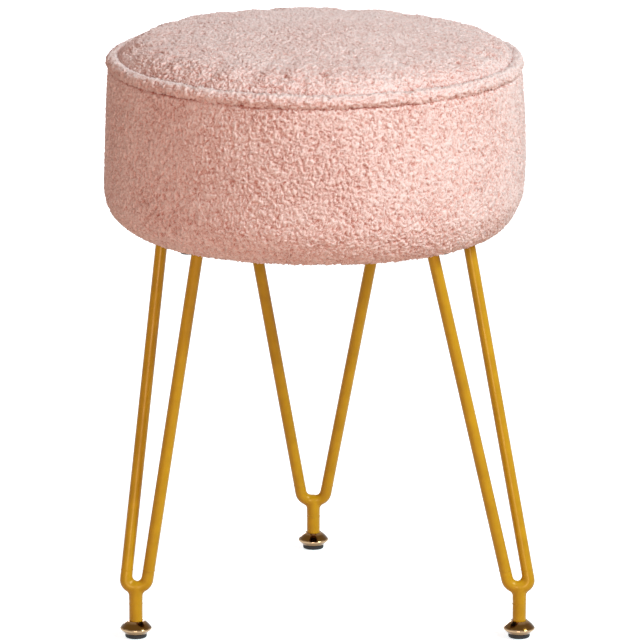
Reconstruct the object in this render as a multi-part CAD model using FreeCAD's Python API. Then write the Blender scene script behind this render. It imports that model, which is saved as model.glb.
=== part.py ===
# Round upholstered pouf on three hairpin legs with screw-adjusted feet.
# Millimetres, +Z up, floor at Z 0. The rear leg is on +Y, and the origin is under the middle of the whole part.
import FreeCAD, Part
import math
import os

from FreeCAD import Vector

# Seat, outside
SEAT_R = 155.0          # widest radius of the side band
SEAT_BOTTOM_Z = 295.0   # underside of the seat above the floor
BAND_H = 121.0          # from the underside up to the centre of the welt
BAND_TAPER = 3.0        # how far the side band draws in at the welt
ROUND_W = 19.0          # width of the rounded lower edge
ROUND_H = 30.0          # height of the rounded lower edge
WELT_D = 9.0            # outside diameter of the welt
WELT_INSET = 3.5        # from the side band's face in to the welt's centre line
WELT_SLEEVE_T = 1.8     # wall of the sleeve round the welt cord
CROWN_H = 21.0          # crown of the top panel above the top of the welt
CROWN_DROP = 7.0        # fall of the gentle crown before the shoulder starts
SHOULDER_W = 30.5       # width of the shoulder between the crown and the welt
SEAM_INSET = 3.2        # from the welt's centre line in to the top panel's seam
SEAM_DROP = 2.5         # how far the top panel's seam lies below the top of the welt
FABRIC_T = 2.5          # looped fabric with its backing
SOFT_GAP = 0.2          # clearance between soft pieces and their neighbours

# Seat, inside and underneath
BOARD_T = 15.0          # plywood base board
HEM_W = 15.0            # width of the cover's hem under the board's edge
DUST_COVER_LAP = 6.0    # how far the dust cover laps over the hem
DUST_COVER_T = 0.6

# Leg fasteners
BOLT_D = 6.0
BOLT_SHORT = 3.2        # how far the bolt's end stops below the top of its nut
BOLT_HEAD_D = 11.5
BOLT_HEAD_H = 2.8
BOLT_HEAD_ROUND = 1.1
BOLT_SOCKET_AF = 4.0    # hexagon socket in the bolt head, across flats
BOLT_SOCKET_DEPTH = 1.8
BOLT_HOLE_GAP = 0.3     # radial clearance of a bolt in its holes
WASHER_D = 13.0
WASHER_T = 1.2
TNUT_FLANGE_D = 16.0
TNUT_FLANGE_T = 1.4
TNUT_BARREL_D = 8.0
TNUT_BARREL_H = 11.0
TNUT_HOLE_GAP = 0.1     # radial clearance of a T-nut's barrel in the board
THREAD_GAP = 0.05       # radial clearance that stands in for a screw thread

# Staples along the hem
STAPLE_COUNT = 30
STAPLE_CROWN = 10.0
STAPLE_LEG = 6.0
STAPLE_WIRE_W = 1.2
STAPLE_WIRE_T = 0.6
STAPLE_CLEAR = 2.0      # least distance from a staple to a leg plate

# Hairpin legs
ROD_D = 8.8
FOOT_OUTSET = 7.0       # how far the centre of a foot stands outside the seat
LEFT_SWAY = 8.0         # how far the front left foot stands to the right of an even stance
RIGHT_SWAY = 10.5       # the same for the front right foot
REAR_SWAY = -1.5        # the same for the rear foot
FORK_FLAT = 4.0         # straight run of the rod at the bottom of the fork
FRONT_SPREAD = 54.0     # between the rods of a front leg at the plate
FRONT_FORK = 15.5       # between the rods of a front leg at the fork
REAR_SPREAD = 105.0     # between the rods of the rear leg at the plate
REAR_FORK = 17.0        # between the rods of the rear leg at the fork
PLATE_T = 3.0
PLATE_CORNER_R = 9.0    # corner radius of the plate round its rods and its inner bolt
PLATE_MARGIN = 1.3      # from the corner of the widest plate to the edge of the board
PLATE_DEPTH = 30.0      # from the rods to the inner bolt
BOLT_FROM_ROD = 14.5    # from each rod to the bolt beside it

# Foot, its stud and the tapped stem that it screws into
FOOT_TRAVEL = 8.0       # how far a foot can be screwed out
STUD_D = 6.0
STUD_GRIP = 10.0        # thread that is still held when the foot is fully out
STUD_END_GAP = 2.0      # room above the stud when the foot is fully in
STUD_HEAD_D = 10.0
STUD_HEAD_H = 1.2
STAKE_GAP = 0.02        # clearance of the stud staked in the foot
STEM_D = 10.0
STEM_ROOF = 1.6         # metal between the bore and the rod
CUP_D = 23.4            # widest diameter of the foot
CUP_LOWER_H = 3.6       # from the foot's lower edge up to its widest rim
CUP_UPPER_H = 5.8       # from the widest rim up to the foot's top
CUP_RIM_ROUND = 1.0     # rounding of the widest rim
CUP_BOW = 0.3           # how far the foot's upper cone is bowed out
CUP_LIP = 0.8           # wall round the dish in the foot's top
CUP_WALL = 0.9          # wall round the pad at the foot's lower edge
DISH_DEPTH = 0.8        # shallow dish that takes the end of the stem
DISH_GAP = 0.4          # radial clearance of the stem in the dish
DISH_FLOOR_GAP = 0.3    # from the dish to the stem's end when the foot is fully in
PAD_D = 16.0            # black pad that meets the floor
PAD_T = 3.0             # thickness of the pad below the foot
PAD_ROUND = 0.8         # rounding of the pad's lower edge
PAD_STEP = 0.5          # step from the pad in to its spigot
PAD_SPIGOT_H = 2.8      # height of the spigot inside the foot
PAD_FIT = 0.05          # radial running fit of the spigot in the foot
PAD_GAP = 0.2           # running gap between the pad's flat faces and the foot

# Circles that follow from the sizes above
BOARD_R = SEAT_R - ROUND_W
HEM_R = BOARD_R - HEM_W
EDGE_R = SEAT_R - BAND_TAPER
WELT_R = EDGE_R - WELT_INSET
SEAM_R = WELT_R - SEAM_INSET
FOOT_CIRCLE_R = SEAT_R + FOOT_OUTSET
PLATE_REACH = BOARD_R - PLATE_MARGIN - PLATE_CORNER_R
PLATE_CIRCLE_R = math.sqrt(PLATE_REACH**2 - (max(FRONT_SPREAD, REAR_SPREAD) / 2) ** 2)
PAD_SPIGOT_R = PAD_D / 2 - PAD_STEP
CUP_HOLLOW_R = PAD_SPIGOT_R + PAD_FIT
DISH_R = STEM_D / 2 + DISH_GAP
BOLT_HOLE_R = BOLT_D / 2 + BOLT_HOLE_GAP

# Levels that follow from the sizes above
BOARD_TOP_Z = SEAT_BOTTOM_Z + BOARD_T
HEM_TOP_Z = SEAT_BOTTOM_Z + FABRIC_T
ROUND_TOP_Z = SEAT_BOTTOM_Z + ROUND_H
WELT_Z = SEAT_BOTTOM_Z + BAND_H
WELT_TOP_Z = WELT_Z + WELT_D / 2
TOP_SEAM_Z = WELT_TOP_Z - SEAM_DROP
APEX_Z = WELT_TOP_Z + CROWN_H
DUST_COVER_Z = SEAT_BOTTOM_Z - DUST_COVER_T
PLATE_Z = DUST_COVER_Z - PLATE_T
WASHER_Z = PLATE_Z - WASHER_T
TNUT_TOP_Z = BOARD_TOP_Z + TNUT_FLANGE_T
CUP_BOTTOM_Z = PAD_T + PAD_GAP
CUP_RIM_Z = CUP_BOTTOM_Z + CUP_LOWER_H
CUP_TOP_Z = CUP_RIM_Z + CUP_UPPER_H
STUD_HEAD_Z = PAD_T + PAD_SPIGOT_H + PAD_GAP
CUP_WEB_Z = STUD_HEAD_Z + STUD_HEAD_H
DISH_Z = CUP_TOP_Z - DISH_DEPTH
STEM_Z = DISH_Z + DISH_FLOOR_GAP
STUD_TOP_Z = STEM_Z + FOOT_TRAVEL + STUD_GRIP
BORE_TOP_Z = STUD_TOP_Z + STUD_END_GAP
FORK_Z = BORE_TOP_Z + STEM_ROOF + ROD_D / 2

# The rear and the right foot reach past the seat, so the seat's axis stands beside the origin
AXIS_X = (SEAT_R - FOOT_CIRCLE_R * math.cos(math.pi / 6) - RIGHT_SWAY - CUP_D / 2) / 2
AXIS_Y = (SEAT_R - FOOT_CIRCLE_R - CUP_D / 2) / 2

# Legs with their angle about the seat, the rods' spread at the plate and at the fork, and the foot's sway
LEGS = {
    "front_left": (210, FRONT_SPREAD, FRONT_FORK, LEFT_SWAY),
    "front_right": (330, FRONT_SPREAD, FRONT_FORK, RIGHT_SWAY),
    "rear": (90, REAR_SPREAD, REAR_FORK, REAR_SWAY),
}
UP = Vector(0, 0, 1)


def point(r, z):
    """A point of a half section: radius r from the axis, height z."""
    return Vector(r, 0, z)


def line(a, b):
    return Part.LineSegment(a, b).toShape()


def arc(a, middle, b):
    return Part.Arc(a, middle, b).toShape()


def polyline(points):
    return [line(a, b) for a, b in zip(points, points[1:])]


def revolved(edges):
    """The solid that a closed half section in the XZ plane sweeps about the Z axis."""
    outline = Part.Wire(Part.sortEdges(edges)[0])
    return Part.Face(outline).revolve(Vector(), UP, 360)


def cylinder(r, z_low, z_high, at=Vector()):
    return Part.makeCylinder(r, z_high - z_low, Vector(at.x, at.y, z_low))


def ring(r_in, r_out, z_low, z_high):
    return cylinder(r_out, z_low, z_high).cut(cylinder(r_in, z_low, z_high))


def turned(shape, angle):
    """A copy of the shape, turned about the seat's axis."""
    copy = shape.copy()
    copy.rotate(Vector(), UP, angle)
    return copy


def at_each(shape, places):
    """One compound with a copy of the shape at each place."""
    return Part.makeCompound([shape.translated(at) for at in places])


def tangent_arc(start, direction, end):
    """The arc from start, leaving along direction, to end, all in the XZ plane."""
    normal = Vector(-direction.z, 0, direction.x).normalize()
    chord = end - start
    radius = chord.dot(chord) / (2 * chord.dot(normal))
    centre = start + normal * radius
    bisector = ((start - centre).normalize() + (end - centre).normalize()).normalize()
    return arc(start, centre + bisector * abs(radius), end)


# Cover, welt and foam. Each outline is drawn in by an inset from the outside face.


def lower_edge(inset, start_r=BOARD_R):
    """Rounded lower edge of the seat, from the side band down to the board's edge."""
    return tangent_arc(point(SEAT_R - inset, ROUND_TOP_Z), -UP, point(start_r, SEAT_BOTTOM_Z + inset))


def side(inset):
    """Side band, straight up from the rounded edge and then drawn in to the welt."""
    return tangent_arc(point(SEAT_R - inset, ROUND_TOP_Z), UP, point(EDGE_R - inset, WELT_Z))


def crown(inset):
    """Top panel from the axis to the welt: a gentle crown, then a shoulder tangent to it."""
    crown_r = WELT_R - SHOULDER_W
    radius = (crown_r**2 + CROWN_DROP**2) / (2 * CROWN_DROP)
    half_turn = math.asin(crown_r / radius) / 2
    top_z = APEX_Z - inset
    middle = point(radius * math.sin(half_turn), top_z - radius * (1 - math.cos(half_turn)))
    turn = point(crown_r, top_z - CROWN_DROP)
    leaving = Vector(radius - CROWN_DROP, 0, -crown_r)
    rim = point(SEAM_R, TOP_SEAM_Z - inset)
    return [arc(point(0, top_z), middle, turn), tangent_arc(turn, leaving, rim)]


def welt_ring(diameter):
    return Part.makeTorus(WELT_R, diameter / 2, Vector(0, 0, WELT_Z))


def clear_of_welt(shape):
    return shape.cut(welt_ring(WELT_D + 2 * SOFT_GAP))


def make_cover_band(bolt_places):
    """Side band of the cover, with its rounded lower edge and the hem under the board, holed for the bolts."""
    hem = polyline([
        point(BOARD_R, HEM_TOP_Z), point(HEM_R, HEM_TOP_Z), point(HEM_R, SEAT_BOTTOM_Z),
        point(BOARD_R, SEAT_BOTTOM_Z),
    ])
    top = line(point(EDGE_R, WELT_Z), point(EDGE_R - FABRIC_T, WELT_Z))
    outside = [lower_edge(0), side(0)]
    inside = [lower_edge(FABRIC_T), side(FABRIC_T)]
    holes = [cylinder(BOLT_HOLE_R, SEAT_BOTTOM_Z, HEM_TOP_Z, at) for at in bolt_places]
    return clear_of_welt(revolved(hem + outside + [top] + inside)).cut(holes)


def make_cover_top():
    """Crowned top panel of the cover, sewn in at the welt."""
    rim = line(point(SEAM_R, TOP_SEAM_Z), point(SEAM_R, TOP_SEAM_Z - FABRIC_T))
    axis = line(point(0, APEX_Z), point(0, APEX_Z - FABRIC_T))
    return clear_of_welt(revolved(crown(0) + [rim] + crown(FABRIC_T) + [axis]))


def make_welt_cord():
    return welt_ring(WELT_D - 2 * (WELT_SLEEVE_T + SOFT_GAP))


def make_welt_sleeve():
    """Fabric strip sewn round the welt cord."""
    return welt_ring(WELT_D).cut(welt_ring(WELT_D - 2 * WELT_SLEEVE_T))


def make_foam_core(bolt_places):
    """Foam block that sits on the board, wraps its edge and carries the crown."""
    inset = FABRIC_T + SOFT_GAP
    edge_r = BOARD_R + SOFT_GAP
    seat_z = BOARD_TOP_Z + SOFT_GAP
    shoulder = line(point(EDGE_R - inset, WELT_Z), point(SEAM_R, TOP_SEAM_Z - inset))
    under = polyline([
        point(0, APEX_Z - inset), point(0, seat_z), point(edge_r, seat_z), point(edge_r, SEAT_BOTTOM_Z + inset),
    ])
    block = revolved([lower_edge(inset, edge_r), side(inset), shoulder] + crown(inset) + under)
    pocket_r = TNUT_FLANGE_D / 2 + SOFT_GAP
    pockets = [cylinder(pocket_r, BOARD_TOP_Z, TNUT_TOP_Z + SOFT_GAP, at) for at in bolt_places]
    return clear_of_welt(block).cut(pockets)


# Base board and what is fixed to it


def make_base_board(bolt_places):
    """Plywood disc with a rebate for the hem and a stepped hole for each T-nut."""
    board = cylinder(BOARD_R, SEAT_BOTTOM_Z, BOARD_TOP_Z)
    cuts = [ring(HEM_R - SOFT_GAP, BOARD_R + SOFT_GAP, SEAT_BOTTOM_Z, HEM_TOP_Z + SOFT_GAP)]
    barrel_r = TNUT_BARREL_D / 2 + TNUT_HOLE_GAP
    barrel_z = BOARD_TOP_Z - TNUT_BARREL_H - TNUT_HOLE_GAP
    for at in bolt_places:
        cuts.append(cylinder(BOLT_HOLE_R, SEAT_BOTTOM_Z, BOARD_TOP_Z, at))
        cuts.append(cylinder(barrel_r, barrel_z, BOARD_TOP_Z, at))
    return board.cut(cuts)


def make_dust_cover(bolt_places):
    """Thin black cloth disc under the board, lapped over the hem."""
    disc = cylinder(HEM_R + DUST_COVER_LAP, DUST_COVER_Z, SEAT_BOTTOM_Z)
    return disc.cut([cylinder(BOLT_HOLE_R, DUST_COVER_Z, SEAT_BOTTOM_Z, at) for at in bolt_places])


def make_hem_staples(plates):
    """Staples through the dust cover and the hem, left out where a leg plate is in the way."""
    low = DUST_COVER_Z - STAPLE_WIRE_T
    x = HEM_R + DUST_COVER_LAP / 2 - STAPLE_WIRE_W / 2
    y = STAPLE_CROWN / 2
    crown_bar = Part.makeBox(STAPLE_WIRE_W, STAPLE_CROWN, STAPLE_WIRE_T, Vector(x, -y, low))
    leg = Part.makeBox(STAPLE_WIRE_W, STAPLE_WIRE_T, STAPLE_LEG, Vector(x, 0, low))
    legs = [leg.translated(Vector(0, -y, 0)), leg.translated(Vector(0, y - STAPLE_WIRE_T, 0))]
    staple = crown_bar.fuse(legs).removeSplitter()
    circle = [turned(staple, 360 * i / STAPLE_COUNT) for i in range(STAPLE_COUNT)]
    kept = [s for s in circle if all(s.distToShape(plate)[0] > STAPLE_CLEAR for plate in plates)]
    return Part.makeCompound(kept)


def make_bolt():
    """Socket-head bolt that holds a leg plate, with its head down."""
    head_z = WASHER_Z - BOLT_HEAD_H
    head = cylinder(BOLT_HEAD_D / 2, head_z, WASHER_Z)
    lower_rim = [edge for edge in head.Edges if edge.BoundBox.ZMax < WASHER_Z - BOLT_HEAD_H / 2]
    head = head.makeFillet(BOLT_HEAD_ROUND, lower_rim)
    shank = cylinder(BOLT_D / 2, WASHER_Z, TNUT_TOP_Z - BOLT_SHORT)
    corner = Vector(BOLT_SOCKET_AF / math.sqrt(3), 0, head_z)
    corners = [FreeCAD.Rotation(UP, 60 * i).multVec(corner) for i in range(6)]
    socket = Part.Face(Part.makePolygon(corners + corners[:1])).extrude(UP * BOLT_SOCKET_DEPTH)
    return head.fuse(shank).removeSplitter().cut(socket)


def make_washer():
    return ring(BOLT_HOLE_R, WASHER_D / 2, WASHER_Z, PLATE_Z)


def make_tnut():
    """Flanged nut let into the top of the board."""
    barrel_z = BOARD_TOP_Z - TNUT_BARREL_H
    barrel = cylinder(TNUT_BARREL_D / 2, barrel_z, BOARD_TOP_Z)
    flange = cylinder(TNUT_FLANGE_D / 2, BOARD_TOP_Z, TNUT_TOP_Z)
    bore = cylinder(BOLT_D / 2 + THREAD_GAP, barrel_z, TNUT_TOP_Z)
    return barrel.fuse(flange).removeSplitter().cut(bore)


# Legs, drawn on +X and then turned to their angle


def plate_bolts(spread):
    """Places of a plate's three bolts: one beside each rod and one further in."""
    beside = spread / 2 - BOLT_FROM_ROD
    inner = PLATE_CIRCLE_R - PLATE_DEPTH
    return [Vector(PLATE_CIRCLE_R, -beside, 0), Vector(PLATE_CIRCLE_R, beside, 0), Vector(inner, 0, 0)]


def make_plate(spread):
    """Three-cornered mounting plate that the rods are welded to."""
    corners = [
        Vector(PLATE_CIRCLE_R, -spread / 2, PLATE_Z),
        Vector(PLATE_CIRCLE_R, spread / 2, PLATE_Z),
        Vector(PLATE_CIRCLE_R - PLATE_DEPTH, 0, PLATE_Z),
    ]
    outline = Part.makePolygon(corners + corners[:1]).makeOffset2D(PLATE_CORNER_R)
    plate = Part.Face(outline).extrude(UP * PLATE_T)
    return plate.cut([cylinder(BOLT_HOLE_R, PLATE_Z, DUST_COVER_Z, at) for at in plate_bolts(spread)])


def rounded_path(points, reach):
    """Straight runs through the points, with a tangent arc that starts at the reach before each corner."""
    edges = []
    start = points[0]
    for before, corner, after in zip(points, points[1:], points[2:]):
        back = (before - corner).normalize()
        on = (after - corner).normalize()
        half = back.getAngle(on) / 2
        radius = reach * math.tan(half)
        bisector = (back + on).normalize()
        middle = corner + bisector * (radius / math.sin(half) - radius)
        first, last = corner + back * reach, corner + on * reach
        edges += [line(start, first), arc(first, middle, last)]
        start = last
    return Part.Wire(edges + [line(start, points[-1])])


def make_hairpin(spread, fork, foot, across):
    """One rod, bent round the fork over its foot, whose line across is given, and cut flush under the plate."""
    corners = [foot + across * (side * fork / 2) + UP * FORK_Z for side in (-1, 1)]
    tops = [Vector(PLATE_CIRCLE_R, side * spread / 2, PLATE_Z) for side in (-1, 1)]
    ends = [top + (top - corner).normalize() * ROD_D for top, corner in zip(tops, corners)]
    path = rounded_path([ends[0], corners[0], corners[1], ends[1]], (fork - FORK_FLAT) / 2)
    section = Part.Wire(Part.makeCircle(ROD_D / 2, ends[0], corners[0] - ends[0]))
    rod = path.makePipeShell([section], True, False)
    room = 2 * FOOT_CIRCLE_R
    return rod.cut(Part.makeBox(room, room, room, Vector(0, -room / 2, PLATE_Z)))


def make_stem(hairpin, foot):
    """Tapped bush under the fork, coped to the rod that it is welded to."""
    bush = cylinder(STEM_D / 2, STEM_Z, FORK_Z, foot)
    bore = cylinder(STUD_D / 2 + THREAD_GAP, STEM_Z, BORE_TOP_Z, foot)
    return bush.cut(hairpin).cut(bore)


def tangent_point(start, centre, radius, turn):
    """Where the line from start touches a circle in the XZ plane, on the side that turn (1 or -1) gives."""
    to_centre = centre - start
    reach = math.sqrt(to_centre.dot(to_centre) - radius**2)
    angle = math.degrees(math.atan2(radius, reach)) * turn
    return start + FreeCAD.Rotation(Vector(0, 1, 0), angle).multVec(to_centre).normalize() * reach


def make_foot_cup():
    """Plated foot: two cones that meet in a rounded rim, dished above and hollow below."""
    bottom = point(CUP_HOLLOW_R + CUP_WALL, CUP_BOTTOM_Z)
    top = point(DISH_R + CUP_LIP, CUP_TOP_Z)
    rim_centre = point(CUP_D / 2 - CUP_RIM_ROUND, CUP_RIM_Z)
    low = tangent_point(bottom, rim_centre, CUP_RIM_ROUND, 1)
    high = tangent_point(top, rim_centre, CUP_RIM_ROUND, -1)
    rim = arc(low, point(CUP_D / 2, CUP_RIM_Z), high)
    stud_r = STUD_D / 2 + STAKE_GAP
    inside = polyline([
        top, point(DISH_R, CUP_TOP_Z), point(DISH_R, DISH_Z), point(stud_r, DISH_Z), point(stud_r, CUP_WEB_Z),
        point(CUP_HOLLOW_R, CUP_WEB_Z), point(CUP_HOLLOW_R, CUP_BOTTOM_Z), bottom,
    ])
    slope = top - high
    bowed = (high + top) / 2 + Vector(slope.z, 0, -slope.x).normalize() * CUP_BOW
    return revolved([line(bottom, low), rim, arc(high, bowed, top)] + inside)


def make_foot_stud():
    """Levelling stud, staked in the foot by its head."""
    head = cylinder(STUD_HEAD_D / 2, STUD_HEAD_Z, CUP_WEB_Z)
    shank = cylinder(STUD_D / 2, CUP_WEB_Z, STUD_TOP_Z)
    return head.fuse(shank).removeSplitter()


def make_foot_pad():
    """Black pad that stays still on the floor while the foot turns on it."""
    flange = cylinder(PAD_D / 2, 0, PAD_T)
    floor_rim = [edge for edge in flange.Edges if edge.BoundBox.ZMax < PAD_T / 2]
    spigot = cylinder(PAD_SPIGOT_R, PAD_T, PAD_T + PAD_SPIGOT_H)
    return flange.makeFillet(PAD_ROUND, floor_rim).fuse(spigot).removeSplitter()


def make_legs():
    """Every leg's pieces by node name, and the places of all the bolts. Every fork faces the front."""
    nodes, places = {}, []
    for leg, (angle, spread, fork, sway) in LEGS.items():
        right = FreeCAD.Rotation(UP, -angle).multVec(Vector(1, 0, 0))
        foot = Vector(FOOT_CIRCLE_R, 0, 0) + right * sway
        hairpin = make_hairpin(spread, fork, foot, right * math.copysign(1, right.y))
        pieces = {
            "plate": make_plate(spread),
            "hairpin": hairpin,
            "stem": make_stem(hairpin, foot),
            "foot_cup": make_foot_cup().translated(foot),
            "foot_stud": make_foot_stud().translated(foot),
            "foot_pad": make_foot_pad().translated(foot),
        }
        for piece, shape in pieces.items():
            nodes[f"{leg}_{piece}"] = turned(shape, angle)
        places += [FreeCAD.Rotation(UP, angle).multVec(at) for at in plate_bolts(spread)]
    return nodes, places


def main():
    nodes, places = make_legs()
    plates = [nodes[f"{leg}_plate"] for leg in LEGS]
    nodes.update({
        "base_board": make_base_board(places),
        "foam_core": make_foam_core(places),
        "cover_band": make_cover_band(places),
        "cover_top": make_cover_top(),
        "welt_sleeve": make_welt_sleeve(),
        "welt_cord": make_welt_cord(),
        "dust_cover": make_dust_cover(places),
        "hem_staples": make_hem_staples(plates),
        "leg_bolts": at_each(make_bolt(), places),
        "leg_washers": at_each(make_washer(), places),
        "leg_t_nuts": at_each(make_tnut(), places),
    })
    os.makedirs("parts", exist_ok=True)
    for node, shape in nodes.items():
        shape.translated(Vector(AXIS_X, AXIS_Y, 0)).exportStep(os.path.join("parts", f"{node}.step"))
        print(f"{node}: {len(shape.Solids)} solids, {shape.Volume / 1000:.2f} cm3, valid {shape.isValid()}")


main()
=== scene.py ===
"""Round pouf on three hairpin legs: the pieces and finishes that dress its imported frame."""

import logging
import math
from contextlib import contextmanager
from dataclasses import dataclass
from enum import Enum
from typing import Iterator, Sequence

import bpy
import numpy as np
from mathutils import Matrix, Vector, noise


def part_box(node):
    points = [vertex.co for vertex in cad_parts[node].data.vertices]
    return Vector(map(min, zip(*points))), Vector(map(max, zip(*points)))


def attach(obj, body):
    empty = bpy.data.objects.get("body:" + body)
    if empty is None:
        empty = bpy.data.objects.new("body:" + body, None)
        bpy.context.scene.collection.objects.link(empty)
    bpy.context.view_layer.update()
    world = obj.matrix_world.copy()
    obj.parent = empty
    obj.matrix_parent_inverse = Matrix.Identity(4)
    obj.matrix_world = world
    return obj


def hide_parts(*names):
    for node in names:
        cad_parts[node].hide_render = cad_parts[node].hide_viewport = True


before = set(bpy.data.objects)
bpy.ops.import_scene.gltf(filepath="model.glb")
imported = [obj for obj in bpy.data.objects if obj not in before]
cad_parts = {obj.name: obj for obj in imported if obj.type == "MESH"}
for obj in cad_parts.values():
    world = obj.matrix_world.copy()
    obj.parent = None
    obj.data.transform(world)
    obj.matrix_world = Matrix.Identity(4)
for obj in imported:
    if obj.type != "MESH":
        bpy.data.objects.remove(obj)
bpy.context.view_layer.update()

log = logging.getLogger("pouf")

MM = 0.001
AXIS_X = -3.748 * MM
AXIS_Y = -9.35 * MM
TINY = 1e-6
NOISE_SEED = 7

Point = tuple[float, float]
Place = tuple[float, float, float]
Colour = tuple[float, float, float]
Thing = bpy.types.Object
Node = bpy.types.Node
Tree = bpy.types.NodeTree
Socket = bpy.types.NodeSocket
Material = bpy.types.Material


class Slot(Enum):
    """The record's material slots."""

    BOUCLE = "pink_boucle"
    FOAM = "foam"
    CORD = "cord"
    DUST_CLOTH = "dust_cloth"
    PLYWOOD = "plywood"
    GOLD_PAINT = "gold_paint"
    PLATED_BRASS = "plated_brass"
    ZINC = "zinc_steel"
    BLACK_STEEL = "black_steel"
    RUBBER = "black_rubber"


class Leg(Enum):
    """The three legs, by the corner they stand at."""

    FRONT_LEFT = "front_left"
    FRONT_RIGHT = "front_right"
    REAR = "rear"

    def node(self, piece: str) -> str:
        """The name of one of this leg's CAD nodes."""
        return f"{self.value}_{piece}"


class Body(Enum):
    """The frame's bodies that new pieces ride on."""

    STOOL = "stool"
    FOOT = "foot"

    def of(self, leg: Leg) -> str:
        """The body's full name on one leg."""
        return f"{leg.value}_{self.value}"


# Modelling by hand


class Bench:
    """The hand tools: selection, edit mode, modifiers and mesh coordinates."""

    @staticmethod
    def clear() -> None:
        """Deselects every object."""
        if bpy.context.object is not None and bpy.context.object.mode != "OBJECT":
            bpy.ops.object.mode_set(mode="OBJECT")
        bpy.ops.object.select_all(action="DESELECT")

    @staticmethod
    def take(obj: Thing) -> None:
        """Makes one object the only selected and active one."""
        Bench.clear()
        obj.select_set(True)
        bpy.context.view_layer.objects.active = obj

    @staticmethod
    @contextmanager
    def edit(obj: Thing, kind: str = "VERT") -> Iterator[None]:
        """Opens one object in edit mode.

        Args:
            obj: the mesh object to edit.
            kind: the select mode, VERT, EDGE or FACE.
        """
        Bench.take(obj)
        bpy.ops.object.mode_set(mode="EDIT")
        bpy.ops.mesh.select_mode(type=kind)
        try:
            yield
        finally:
            bpy.ops.object.mode_set(mode="OBJECT")

    @staticmethod
    def pick(obj: Thing, chosen: np.ndarray) -> None:
        """Selects vertices by a mask, from inside edit mode.

        Args:
            obj: the mesh object that is being edited.
            chosen: one truth value for each vertex.
        """
        bpy.ops.mesh.select_all(action="DESELECT")
        bpy.ops.object.mode_set(mode="OBJECT")
        obj.data.vertices.foreach_set("select", chosen.astype(bool))
        bpy.ops.object.mode_set(mode="EDIT")

    @staticmethod
    def pick_rims() -> None:
        """Selects the open edges, from inside edit mode."""
        bpy.ops.mesh.select_all(action="DESELECT")
        bpy.ops.mesh.select_non_manifold(
            use_wire=False, use_multi_face=False, use_non_contiguous=False, use_verts=False
        )

    @staticmethod
    def apply(obj: Thing, kind: str, **settings: object) -> None:
        """Adds a modifier with these settings and applies it.

        Args:
            obj: the mesh object that gets it.
            kind: the modifier's type.
            settings: its properties by name.
        """
        Bench.take(obj)
        modifier = obj.modifiers.new(kind.lower(), kind)
        for name, value in settings.items():
            setattr(modifier, name, value)
        bpy.ops.object.modifier_apply(modifier=modifier.name)

    @staticmethod
    def points(obj: Thing) -> np.ndarray:
        """The mesh's vertices as rows of x, y, z."""
        flat = np.empty(len(obj.data.vertices) * 3, np.float32)
        obj.data.vertices.foreach_get("co", flat)
        return flat.reshape(-1, 3).astype(float)

    @staticmethod
    def place(obj: Thing, points: np.ndarray) -> None:
        """Puts the mesh's vertices at these points."""
        obj.data.vertices.foreach_set("co", points.astype(np.float32).ravel())
        obj.data.update()

    @staticmethod
    def normals(obj: Thing) -> np.ndarray:
        """The mesh's vertex normals as rows of x, y, z."""
        flat = np.empty(len(obj.data.vertices) * 3, np.float32)
        obj.data.vertex_normals.foreach_get("vector", flat)
        return flat.reshape(-1, 3).astype(float)

    @staticmethod
    def face_out(obj: Thing) -> None:
        """Merges doubles and turns every face outwards."""
        with Bench.edit(obj):
            bpy.ops.mesh.select_all(action="SELECT")
            bpy.ops.mesh.remove_doubles(threshold=TINY)
            bpy.ops.mesh.normals_make_consistent(inside=False)

    @staticmethod
    def smooth(obj: Thing, angle: float = 180.0) -> None:
        """Shades the mesh smooth below an angle, in degrees."""
        Bench.take(obj)
        bpy.ops.object.shade_smooth_by_angle(angle=math.radians(angle))

    @staticmethod
    def settle(obj: Thing) -> None:
        """Puts the object's place into its mesh, so that it sits at the origin."""
        Bench.take(obj)
        bpy.ops.object.transform_apply(location=True, rotation=True, scale=True)

    @staticmethod
    def turn(name: str, rings: Sequence[Point], sides: int, at: Point) -> Thing:
        """Turns a closed form by pulling a disc through a row of rings.

        Args:
            name: the new object's name.
            rings: radius and height of each ring, from the bottom to the top.
            sides: the count of vertices round each ring.
            at: x and y of the axis.

        Returns:
            The new object, settled at the origin.
        """
        Bench.clear()
        radius, height = rings[0]
        bpy.ops.mesh.primitive_circle_add(
            vertices=sides, radius=radius, fill_type="NGON", location=(*at, height)
        )
        obj = bpy.context.object
        obj.name = name
        with Bench.edit(obj, "FACE"):
            bpy.ops.mesh.select_all(action="SELECT")
            for wider, higher in rings[1:]:
                bpy.ops.mesh.extrude_region_move(
                    TRANSFORM_OT_translate={"value": (0, 0, higher - height)}
                )
                bpy.ops.transform.resize(value=(wider / radius, wider / radius, 1))
                radius, height = wider, higher
        Bench.settle(obj)
        Bench.face_out(obj)
        return obj

    @staticmethod
    def polar(points: np.ndarray) -> tuple[np.ndarray, np.ndarray]:
        """Distance from the seat's axis and bearing about it of each point."""
        x, y = points[:, 0] - AXIS_X, points[:, 1] - AXIS_Y
        return np.hypot(x, y), np.arctan2(y, x)

    @staticmethod
    def middle(low: Sequence[float], high: Sequence[float]) -> Point:
        """The x and y halfway between two corners."""
        return (low[0] + high[0]) / 2, (low[1] + high[1]) / 2

    @staticmethod
    def bell(distance: np.ndarray, width: float) -> np.ndarray:
        """A smooth bump: 1 at no distance, falling away over a width."""
        return np.exp(-((distance / width) ** 2))

    @staticmethod
    def twin(obj: Thing, name: str) -> Thing:
        """A copy of an object with its own mesh."""
        copy = bpy.data.objects.new(name, obj.data.copy())
        bpy.context.scene.collection.objects.link(copy)
        return copy


def finish_piece(obj: Thing, material: Material, body: str) -> None:
    """Gives a new piece its material and the body it rides on.

    Args:
        obj: the piece.
        material: its only material.
        body: the body's name.
    """
    obj.data.materials.clear()
    obj.data.materials.append(material)
    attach(obj, body)
    log.info("%s rides on %s, %d faces", obj.name, body, len(obj.data.polygons))


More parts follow.
